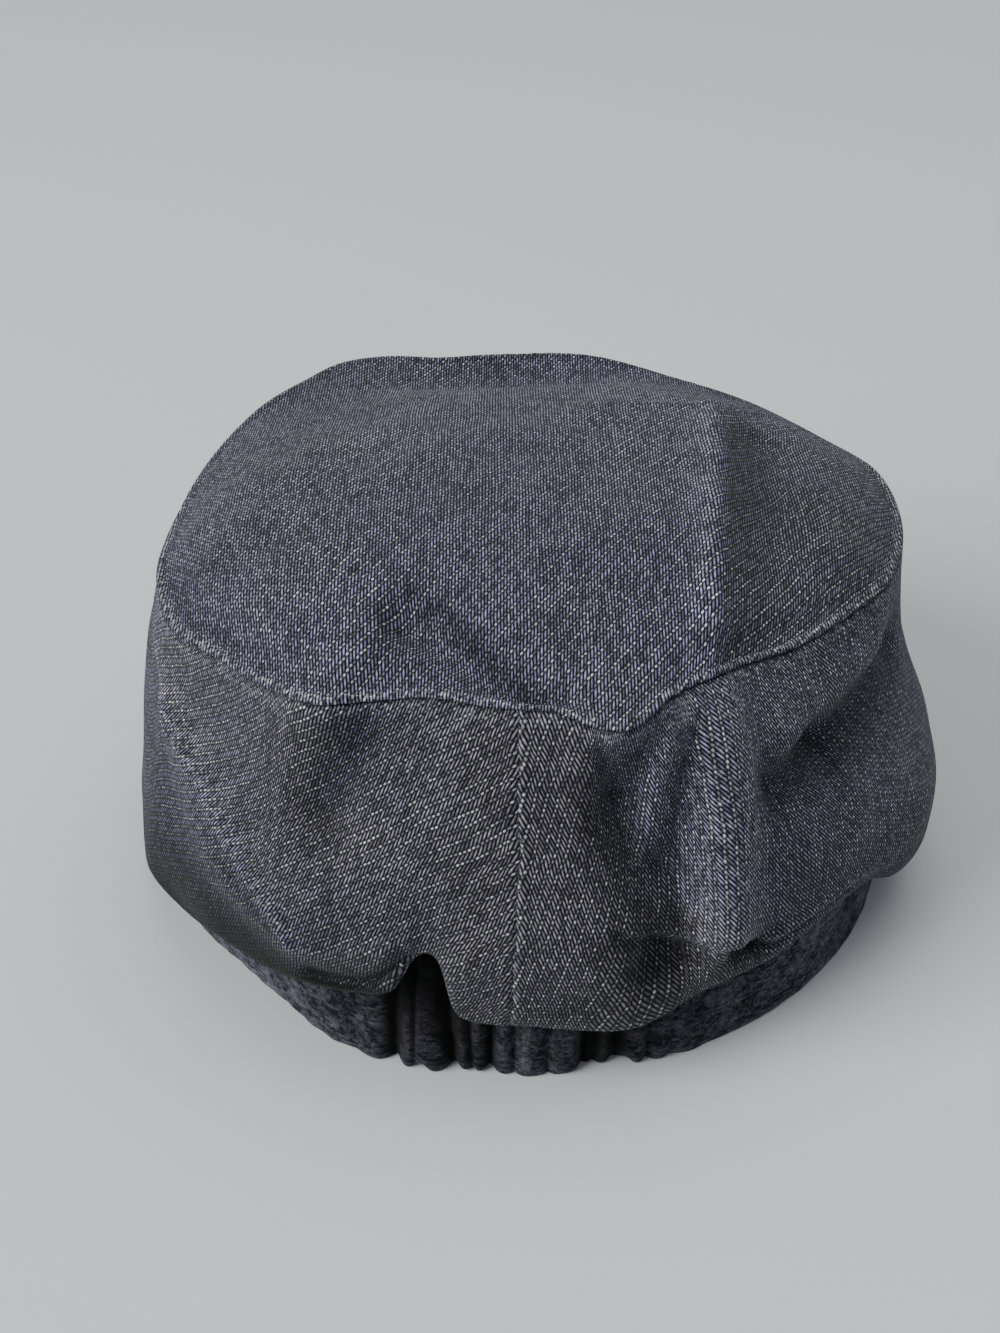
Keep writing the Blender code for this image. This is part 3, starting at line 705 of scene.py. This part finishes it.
def twill(name, warp, weft, dark, light, cross, face=True):
    """Three-over-one twill worked out per yarn. Across lengthwise yarn i the cloth is a half sine; along it a
    float of three runs between crosswise spots, and each yarn's spots sit one crosswise yarn on from the last.
    Every float and every spot has its own brightness, and broad patches are more or less washed out."""
    n = Nodes(name)
    cut = n.add("ShaderNodeUVMap", uv_map="cut").outputs[0]
    place = n.add("ShaderNodeSeparateXYZ")
    n.put(place.inputs[0], cut)
    whole = n.add("ShaderNodeTexCoord").outputs["Object"]
    drift = n.calc("MULTIPLY_ADD", n.noise(cut, 90.0, 3.0), 1.2, -0.6)
    sag = n.calc("MULTIPLY_ADD", n.noise(whole, 75.0, 3.0), 1.4, -0.7)
    u = n.calc("MULTIPLY_ADD", place.outputs[0], 1.0 / warp, drift)
    v = n.calc("MULTIPLY_ADD", place.outputs[1], 1.0 / weft, sag)
    yarn = n.calc("FLOOR", u)
    each = n.add("ShaderNodeTexWhiteNoise", noise_dimensions="1D")
    n.put(each.inputs["W"], yarn)
    v = n.calc("MULTIPLY_ADD", each.outputs["Value"], 0.3, v)
    across = n.calc("SINE", n.calc("MULTIPLY", n.calc("FRACT", u), math.pi))
    lean = n.calc("MULTIPLY", n.calc("SUBTRACT", n.calc("FRACT", u), 0.5), 0.44)
    repeat = n.calc("MULTIPLY", n.calc("SUBTRACT", v, n.calc("ADD", yarn, lean)), 0.25)
    along = n.calc("MULTIPLY", n.calc("FRACT", repeat), 4.0)
    spot = n.calc("LESS_THAN", along, 1.0)
    spot_round = n.calc("SINE", n.calc("MULTIPLY", along, math.pi))
    float_round = n.calc("SINE", n.calc("MULTIPLY", n.calc("SUBTRACT", along, 1.0), math.pi / 3.0))
    float_high = n.calc("MULTIPLY", across, n.calc("MULTIPLY_ADD", float_round, 0.45, 0.55))
    wide = n.calc("POWER", across, 0.95)
    spot_high = n.calc("MULTIPLY_ADD", n.calc("MULTIPLY", spot_round, wide), 0.5, 0.35)
    height = n.calc(
        "ADD",
        n.calc("MULTIPLY", spot, spot_high),
        n.calc("MULTIPLY", n.calc("SUBTRACT", 1.0, spot), float_high),
    )
    own = n.add("ShaderNodeTexWhiteNoise", noise_dimensions="2D")
    n.put(own.inputs["Vector"], n.vector(yarn, n.calc("FLOOR", repeat)))
    pair = n.add("ShaderNodeSeparateColor")
    n.put(pair.inputs[0], own.outputs["Color"])
    slub = n.noise(n.vector(n.calc("MULTIPLY", yarn, 5.37), n.calc("MULTIPLY", v, 0.35)), 1.0, 3.0, 0.7)
    patch = n.noise(whole, 42.0, 4.0, 0.62)
    washed = n.calc("ADD", n.range(slub, 0.3, 0.7, -0.12, 0.18), n.range(patch, 0.32, 0.68, -0.10, 0.16))
    tone = n.calc("ADD", n.calc("MULTIPLY_ADD", pair.outputs[0], 0.7, 0.24), washed)
    fibre = n.range(n.noise(whole, 1500.0, 2.0, 0.6), 0.36, 0.64, 0.60, 1.40)
    # Each lengthwise yarn is lighter towards its raised crown: partly its washed tone, partly a painted highlight on
    # the crown.
    crown = n.calc("MULTIPLY", n.calc("POWER", float_high, 3.0), n.calc("MULTIPLY", tone, fibre))
    brown = n.add("ShaderNodeAttribute", attribute_name="brown").outputs["Fac"]
    hue = n.mix(
        n.calc("ADD", brown, n.range(n.noise(whole, 30.0, 3.0), 0.35, 0.65, -0.3, 0.3), clamp=True),
        light, tuple(c * k for c, k in zip(light, (1.13, 0.99, 0.79))),
    )
    base = n.mix(n.calc("MULTIPLY_ADD", crown, 1.0, 0.03, clamp=True), dark, hue)
    strength = n.calc("MULTIPLY_ADD", n.calc("POWER", pair.outputs[1], 1.4), 0.95, 0.15)
    raised = n.range(n.noise(whole, 26.0, 2.0), 0.35, 0.62, 0.55, 1.0)
    bright = n.calc("MULTIPLY", n.calc("MULTIPLY", spot, strength), n.calc("MULTIPLY", spot_round, wide))
    bright = n.calc("MULTIPLY", n.calc("MULTIPLY", bright, raised), fibre, clamp=True)
    base = n.mix(n.calc("MULTIPLY", bright, 1.0 if face else 0.6), base, cross)
    # Lighter towards the crosswise yarn's colour by the wear-and-highlight mark: wear along seams and edges, and partly
    # a painted highlight on ridges.
    wear_and_highlight = n.add("ShaderNodeAttribute", attribute_name="wear_and_highlight").outputs["Fac"]
    fray = n.noise(whole, 900.0, 3.0, 0.7)
    base = n.mix(n.calc("MULTIPLY", wear_and_highlight, n.range(fray, 0.5, 0.62, 0.0, 0.85)), base, cross)
    # Painted shade: darker in the low gaps between yarns, and darker again by the shade mark, which paints a highlight
    # where it is below zero.
    gap_shade = n.range(height, 0.25, 0.72, 0.01, 1.0)
    shade = n.add("ShaderNodeAttribute", attribute_name="shade").outputs["Fac"]
    depth = n.calc("MULTIPLY", gap_shade, n.calc("SUBTRACT", 1.0, shade))
    base = n.mix(1.0, base, n.vector(depth, depth, depth), "MULTIPLY")
    fuzz = n.calc("MULTIPLY", n.noise(whole, 1600.0, 2.0), 0.35)
    return n.finish(base, n.calc("ADD", height, fuzz), 0.22 * MM, 0.9)


def lined_cloth(name, yarn, colour, light):
    """Close plain weave: half sines across level yarns, broken by finer upright ones, in mottled indigo."""
    n = Nodes(name)
    cut = n.add("ShaderNodeUVMap", uv_map="cut").outputs[0]
    place = n.add("ShaderNodeSeparateXYZ")
    n.put(place.inputs[0], cut)
    whole = n.add("ShaderNodeTexCoord").outputs["Object"]
    drift = n.calc("MULTIPLY_ADD", n.noise(cut, 60.0, 3.0), 2.4, -1.2)
    v = n.calc("MULTIPLY_ADD", place.outputs[1], 1.0 / yarn, drift)
    u = n.calc("MULTIPLY_ADD", place.outputs[0], 1.0 / (0.8 * yarn), drift)
    level = n.calc("SINE", n.calc("MULTIPLY", n.calc("FRACT", v), math.pi))
    upright = n.calc("SINE", n.calc("MULTIPLY", n.calc("FRACT", u), math.pi))
    height = n.calc("ADD", n.calc("MULTIPLY", level, 0.75), n.calc("MULTIPLY", upright, 0.25))
    streak = n.noise(n.vector(n.calc("MULTIPLY", u, 0.25), n.calc("MULTIPLY", n.calc("FLOOR", v), 3.1)), 1.0, 3.0, 0.7)
    blotch = n.noise(whole, 160.0, 4.0, 0.65)
    tone = n.calc("ADD", n.range(streak, 0.35, 0.75, -0.06, 0.46), n.range(blotch, 0.35, 0.7, -0.12, 0.16), clamp=True)
    base = n.mix(tone, colour, light)
    # Lighter by the wear-and-highlight mark, which on the headband is wear along its seam and hem.
    wear_and_highlight = n.add("ShaderNodeAttribute", attribute_name="wear_and_highlight").outputs["Fac"]
    fray = n.noise(whole, 700.0, 3.0, 0.7)
    base = n.mix(n.calc("MULTIPLY", wear_and_highlight, n.range(fray, 0.4, 0.65, 0.0, 0.8)), base, light)
    # Painted shade: darker in the low parts between yarns and by the shade mark; below zero the mark paints a
    # highlight.
    shade = n.add("ShaderNodeAttribute", attribute_name="shade").outputs["Fac"]
    depth = n.calc("MULTIPLY", n.range(height, 0.0, 0.8, 0.4, 1.0), n.calc("SUBTRACT", 1.0, shade))
    base = n.mix(1.0, base, n.vector(depth, depth, depth), "MULTIPLY")
    fuzz = n.calc("MULTIPLY", n.noise(whole, 1500.0, 2.0), 0.4)
    return n.finish(base, n.calc("ADD", height, fuzz), 0.14 * MM, 0.92, 0.03)


def crown_materials(name, sizes, colours):
    """The twill's face and its paler back."""
    face = twill(name, sizes.warp, sizes.weft, tuple(colours.indigo), tuple(colours.faded), tuple(colours.weft))
    back = twill(
        name + "_inside", sizes.warp, sizes.weft, tuple(colours.faded), tuple(colours.weft), tuple(colours.faded), False
    )
    return face, back


def side_cut(angle, points):
    """The side panel's cut pattern: a ribbon whose heading at each angle gives its yarns' lean, and whose height is
    the distance walked along the profile. The heading's cosine and sine, summed along the ribbon, place it."""
    reference = points.shape[1] * 6 // 10
    along = arc_lengths(points[:, reference], 0)
    lean = np.radians(round_the_cap_open(YARN_LEANS, angle))
    heading = np.stack([np.cos(lean), np.sin(lean)], -1)
    step = np.diff(along)[:, None] * (heading[1:] + heading[:-1]) / 2
    centre = np.concatenate([[[0.0, 0.0]], np.cumsum(step, axis=0)])
    up = arc_lengths(points, 1)
    up -= up[:, reference][:, None]
    square = np.stack([-np.sin(lean), np.cos(lean)], -1)
    return centre[:, None] + up[..., None] * square[:, None]


def round_the_cap_open(table, angle):
    """A two-column table at each angle, straight between its rows, from one side of the back seam to the other."""
    rows = np.array(table, float)
    return np.interp(angle, rows[:, 0], rows[:, 1])


class CAP_OT_side_panel(bpy.types.Operator):
    """Makes the side panel, its ends meeting in the centre-back seam"""

    bl_idname = "cap.side_panel"
    bl_label = "Side panel"

    def execute(self, context):
        sizes, colours = context.scene.cap_sizes, context.scene.cap_colours
        seam = np.degrees(0.08 * MM / (BAND_LENGTH / 2))
        angle = np.clip(spread(470, 60.0, 1.8), seam, 360 - seam)
        place = np.concatenate([np.linspace(0, 0.06, 7)[:-1], np.linspace(0.06, 0.45, 34)[:-1], np.linspace(0.45, 1, 38)])
        points = on_grid(lambda a, p: side_surface(a, p, sizes.cloth), angle, place)
        from_seam = (np.abs(signed(angle)) * np.pi * BAND_LENGTH / 360)[:, None]
        right = (signed(angle) > 0)[:, None]
        wear_and_highlight = 0.75 * np.exp(-(((from_seam - 0.5 * MM) / (0.4 * MM)) ** 2)) * np.where(right, 1.0, 0.3)
        wear_and_highlight = wear_and_highlight + 0.45 * np.exp(-((((1.0 - place) * 90 * MM - 0.8 * MM) / (0.9 * MM)) ** 2))[None]
        around = signed(angle)[:, None]
        # Painted shade: a dark line in the back seam's groove.
        shade = 0.55 * np.exp(-((from_seam / (0.22 * MM)) ** 2)) + 0.0 * place[None]
        # Painted shade in the fold valleys and a painted highlight on the fold ridges.
        valleys = on_grid(lambda a, p: np.repeat(side_folds(a, p)[:, None], 3, 1), angle, place)[..., 0]
        shade += 0.5 * np.clip(-valleys / (2.5 * MM), 0.0, 1.0) - 0.16 * np.clip(valleys / (2.0 * MM), 0.0, 1.0)
        # Painted shade under the hem's fold left of the notch and along the bottom of the panel.
        under = np.exp(-((around + 27.0) / 12.0) ** 4) * np.clip((0.33 - place) / 0.035, 0.0, 1.0)
        under = np.maximum(under, np.clip((0.20 - place) / 0.04, 0.0, 1.0))
        # Painted shade, growing towards the headband.
        shade += 0.40 * np.clip((0.56 - place) / 0.25, 0.0, 1.0)
        shade = np.maximum(shade, 0.8 * under)
        ridge = np.interp(place, *np.array(LEFT_RIDGE).T[::-1])[None]
        past = around - ridge
        # Painted shade on the cloth left of the ridge and on the lower left flank.
        shade += 0.26 * np.clip(-past / 2.0, 0.0, 1.0) * np.clip((0.95 - place) / 0.3, 0.0, 1.0) * (around > -120.0)
        shade += 0.34 * np.exp(-(((around + 45.0) / 26.0) ** 4)) * np.clip((0.80 - place) / 0.3, 0.0, 1.0)
        # A painted highlight along the left ridge's crest.
        streak = np.exp(-((past / 0.7) ** 2)) * np.clip((place - 0.40) / 0.06, 0, 1) * np.clip((0.95 - place) / 0.1, 0, 1)
        shade -= 0.22 * streak
        soft = np.exp(-(((around - np.interp(place, (0.74, 0.97), (-28.0, -22.5))) / 3.0) ** 2)) * np.clip((place - 0.7) / 0.06, 0, 1)
        brown_end = np.interp(place, (0.30, 0.48, 0.60, 1.0), (36.0, 32.0, 17.0, 12.0))[None]
        brown = 0.95 * np.clip(past / 3.0, 0.0, 1.0) * np.clip((brown_end - around) / 6.0, 0.0, 1.0) * (1.0 - soft)
        brown = np.maximum(brown, 0.45 * np.clip((around - 24.0) / 10.0, 0.0, 1.0) * (around < 120.0))
        # Lighter on the fold ridges and along the left ridge's crest: wear on the crests, and partly a painted
        # highlight.
        wear_and_highlight = wear_and_highlight + 0.35 * np.clip(valleys / (1.2 * MM), 0.0, 1.0) + 0.1 * streak
        marks = {"wear_and_highlight": np.clip(wear_and_highlight, 0, 1), "shade": np.clip(shade, -0.4, 1), "brown": np.clip(brown, 0, 1)}
        obj = grid_object("side_panel_cloth", points, side_cut(angle, points), marks)
        thicken(obj, sizes.cloth)
        for material in crown_materials("side_twill", sizes, colours):
            obj.data.materials.append(material)
        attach(obj, "root")
        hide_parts("side_panel")
        return {"FINISHED"}


class CAP_OT_tip(bpy.types.Operator):
    """Makes the tip, with its rolled and puckered seam edge"""

    bl_idname = "cap.tip"
    bl_label = "Tip"

    def execute(self, context):
        sizes, colours = context.scene.cap_sizes, context.scene.cap_colours
        angle = np.linspace(0, 360, 521)[:-1]
        reach = np.concatenate([np.linspace(0, 0.9, 40)[:-1], np.linspace(0.9, 0.97, 8)[:-1], np.linspace(0.97, 1, 10)])
        points = on_grid(lambda a, r: tip_surface(a, r, sizes.cloth, sizes.seam_roll), angle, reach)
        flat = points[..., :2] - points[:, :1, :2]
        heading = flat / np.maximum(np.linalg.norm(flat, axis=-1, keepdims=True), 1e-9)
        cut = arc_lengths(points, 1)[..., None] * heading
        from_edge = (1.0 - reach) * BAND_WIDTH / 2
        wear_and_highlight = 0.8 * np.exp(-(((from_edge - 0.7 * MM) / (0.6 * MM)) ** 2)) * np.ones((len(angle), 1))
        # Painted shade at the seam edge and in the dip just inside the rolled seam.
        shade = 0.15 * np.exp(-((from_edge / (0.3 * MM)) ** 2)) * np.ones((len(angle), 1))
        shade = shade + 0.30 * np.exp(-(((from_edge - 3.0 * MM) / (0.5 * MM)) ** 2))
        across, along = flat[..., 0].ravel(), flat[..., 1].ravel()
        # Painted shade in the tip's dents.
        for x1, y1, x2, y2, width, height in TIP_DENTS:
            ends = np.array([x1 * BAND_WIDTH, y1 * BAND_LENGTH, x2 * BAND_WIDTH, y2 * BAND_LENGTH]) / 2
            dent = near_line(across, along, ends, width * DENT * 0.8).reshape(shade.shape)
            shade += 0.2 * max(-height, 0.0) * dent
        # Painted shade on the lower side right of the sharp crease, and a painted highlight along its edge on the left.
        right, strength = beside_crease(points[..., 0] - CENTRE[0], points[..., 1] - CENTRE[1])
        drop = 0.5 + 0.5 * np.tanh(right / (0.9 * MM))
        shade += 0.34 * strength * drop * np.exp(-((np.maximum(right, 0.0) / (17 * MM)) ** 2))
        shade -= 0.25 * strength * np.exp(-(((right + 3.5 * MM) / (3.5 * MM)) ** 2))
        # Painted shade towards the tip's left.
        shade += 0.20 * np.clip((-points[..., 0] / (BAND_WIDTH / 2) - 0.40) / 0.3, 0.0, 1.0)
        brown = 0.65 * strength * drop
        # A painted highlight towards the tip's back.
        shade -= 0.14 * np.clip((-points[..., 1] / (BAND_LENGTH / 2) - 0.65) / 0.2, 0.0, 1.0)
        # Painted shade along the short step, with a painted highlight just beyond it.
        left, strength = beside_step(points[..., 0] - CENTRE[0], points[..., 1] - CENTRE[1])
        shade += 0.55 * strength * np.exp(-((left / (2.0 * MM)) ** 2))
        shade -= 0.15 * strength * np.exp(-(((left - 4.5 * MM) / (1.8 * MM)) ** 2))
        marks = {"wear_and_highlight": wear_and_highlight, "shade": shade, "brown": brown}
        obj = grid_object("tip_cloth", points, cut, marks, round_first=True, pole=True, flip=True)
        thicken(obj, sizes.cloth)
        for material in crown_materials("tip_twill", sizes, colours):
            obj.data.materials.append(material)
        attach(obj, "root")
        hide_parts("tip")
        return {"FINISHED"}


class CAP_OT_headband(bpy.types.Operator):
    """Makes the headband with its elastic gathers"""

    bl_idname = "cap.headband"
    bl_label = "Headband"

    def execute(self, context):
        sizes, colours = context.scene.cap_sizes, context.scene.cap_colours
        angle = spread(801, 27.0, 6.0)[:-1]
        turn = np.linspace(0, 1, 57)[:-1]
        points = on_grid(band_surface, angle, turn)
        along = np.radians(signed(angle)) * (BAND_WIDTH + BAND_LENGTH) / 4
        cut = np.stack([along[:, None] + 0 * turn[None], points[..., 2]], -1)
        from_seam = np.abs(along)[:, None]
        height = points[..., 2] / BAND_HEIGHT
        wear_and_highlight = 0.8 * np.exp(-(((from_seam - 0.4 * MM) / (0.5 * MM)) ** 2)) + 0.5 * np.exp(-((height / 0.05) ** 2))
        around, up = np.broadcast_to(angle[:, None], height.shape), np.clip(height, 0, 1)
        # Painted shade in the gathers' grooves, inside the notch and under the crown's overhang at the back.
        groove = gather_grooves(around.ravel(), up.ravel()).reshape(height.shape) / GATHER
        notch = np.exp(-(((signed(around) + 13.0) / 6.0) ** 4)) * up
        hidden = 0.65 * np.exp(-((signed(around) / 38.0) ** 4)) * up
        shade = 0.60 * np.clip(groove - 0.35, 0, 2) + 0.95 * notch + hidden
        # Painted light on the headband's sides, past about 20 degrees from the back.
        shade = np.clip(shade - 0.7 * np.clip((np.abs(signed(around)) - 20.0) / 20.0, 0, 1), -0.7, 0.97)
        marks = {"wear_and_highlight": np.clip(wear_and_highlight, 0, 1), "shade": shade}
        obj = grid_object("headband_cloth", points, cut, marks, round_first=True, round_second=True)
        obj.data.materials.append(
            lined_cloth("band_cloth", sizes.band_yarn, tuple(colours.band), tuple(k * c for k, c in zip((0.66, 0.60, 0.50), colours.faded)))
        )
        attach(obj, "root")
        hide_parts("headband")
        return {"FINISHED"}


class CAP_OT_peak(bpy.types.Operator):
    """Makes the plain covered peak"""

    bl_idname = "cap.peak"
    bl_label = "Peak"

    def execute(self, context):
        sizes, colours = context.scene.cap_sizes, context.scene.cap_colours
        side = np.sin(np.linspace(-np.pi / 2, np.pi / 2, 161))
        half = np.concatenate([np.linspace(0, 0.95, 30)[:-1], 1.0 - 0.05 * np.cos(np.linspace(0, np.pi / 2, 14))])
        turn = np.concatenate([half, 2.0 - half[-2::-1]])
        points = on_grid(peak_surface, side, turn)
        forward = np.minimum(turn, 2.0 - turn)
        run = np.gradient(points[:, len(half) - 1, :2], axis=0)
        outward = np.stack([-run[:, 1], run[:, 0]], -1) / np.maximum(np.linalg.norm(run, axis=-1, keepdims=True), 1e-9)
        thin = PEAK_THICK / 2 - np.abs(points[..., 2] - (points[..., 2] + points[:, ::-1, 2]) / 2)
        cut = points[..., :2] + 0.57 * thin[..., None] * outward[:, None]
        marks = {
            "wear_and_highlight": 0.6 * np.exp(-(((1 - forward) / 0.03) ** 2)) * np.ones((len(side), 1)),
            # Painted shade under the peak.
            "shade": 0.5 * (turn > 1.05) * np.ones((len(side), 1)),
        }
        obj = grid_object("peak_cloth", points, cut, marks, round_second=True, pole=True)
        for material in crown_materials("peak_twill", sizes, colours)[:1]:
            obj.data.materials.append(material)
        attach(obj, "root")
        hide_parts("peak")
        return {"FINISHED"}


class CAP_OT_stage(bpy.types.Operator):
    """Makes the plain floor, soft lights and camera"""

    bl_idname = "cap.stage"
    bl_label = "Stage"

    def execute(self, context):
        mesh = bpy.data.meshes.new("floor")
        mesh.from_pydata([(-4, -4, 0), (4, -4, 0), (4, 4, 0), (-4, 4, 0)], [], [(0, 1, 2, 3)])
        floor = bpy.data.objects.new("floor", mesh)
        context.scene.collection.objects.link(floor)
        n = Nodes("floor_paint")
        whole = n.add("ShaderNodeTexCoord").outputs["Object"]
        n.finish(tuple(context.scene.cap_colours.floor), n.noise(whole, 400.0, 2.0), 0.05 * MM, 0.85, 0.0)
        mesh.materials.append(n.material)
        for name, place, aim, size, power in (
            ("key_light", (-1.60, -1.00, 1.25), (0, 0, 0.04), 1.6, 62.0),
            ("top_light", (0.3, 0.3, 2.0), (0, 0, 0.06), 2.0, 17.0),
        ):
            light = bpy.data.lights.new(name, "AREA")
            light.shape = "DISK"
            light.size = size
            light.energy = power
            obj = bpy.data.objects.new(name, light)
            obj.location = place
            away = np.array(aim) - np.array(place)
            flat = math.hypot(away[0], away[1])
            obj.rotation_euler = Euler((math.atan2(flat, -away[2]), 0, math.atan2(-away[0], away[1])))
            context.scene.collection.objects.link(obj)
        world = bpy.data.worlds.new("room")
        world.use_nodes = True
        world.node_tree.nodes["Background"].inputs[0].default_value = (0.90, 0.95, 1.0, 1)
        world.node_tree.nodes["Background"].inputs[1].default_value = 0.48
        context.scene.world = world
        lens = bpy.data.cameras.new("camera")
        lens.lens = 54.01
        lens.clip_start = 0.01
        camera = bpy.data.objects.new("camera", lens)
        camera.location = (-0.0055 + CENTRE[0], -0.412 + CENTRE[1], 0.303)
        camera.rotation_euler = Euler((math.radians(58.0), 0, 0))
        context.scene.collection.objects.link(camera)
        context.scene.camera = camera
        return {"FINISHED"}


class CAP_PT_panel(bpy.types.Panel):
    """Lists the cap's sizes, colours and pieces"""

    bl_label = "Military cap"
    bl_idname = "CAP_PT_panel"
    bl_space_type = "VIEW_3D"
    bl_region_type = "UI"
    bl_category = "Cap"

    def draw(self, context):
        for group in (context.scene.cap_sizes, context.scene.cap_colours):
            for key in group.__annotations__:
                self.layout.prop(group, key)
        for operator in OPERATORS:
            self.layout.operator(operator.bl_idname)


OPERATORS = (CAP_OT_headband, CAP_OT_side_panel, CAP_OT_tip, CAP_OT_peak, CAP_OT_stage)
CLASSES = (CapSizes, CapColours, *OPERATORS, CAP_PT_panel)


def register():
    for cls in CLASSES:
        bpy.utils.register_class(cls)
    bpy.types.Scene.cap_sizes = bpy.props.PointerProperty(type=CapSizes)
    bpy.types.Scene.cap_colours = bpy.props.PointerProperty(type=CapColours)


def unregister():
    del bpy.types.Scene.cap_sizes
    del bpy.types.Scene.cap_colours
    for cls in reversed(CLASSES):
        bpy.utils.unregister_class(cls)


def main():
    """Registers the add-on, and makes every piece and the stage."""
    register()
    bpy.ops.cap.headband()
    bpy.ops.cap.side_panel()
    bpy.ops.cap.tip()
    bpy.ops.cap.peak()
    bpy.ops.cap.stage()


if __name__ == "__main__":
    main()
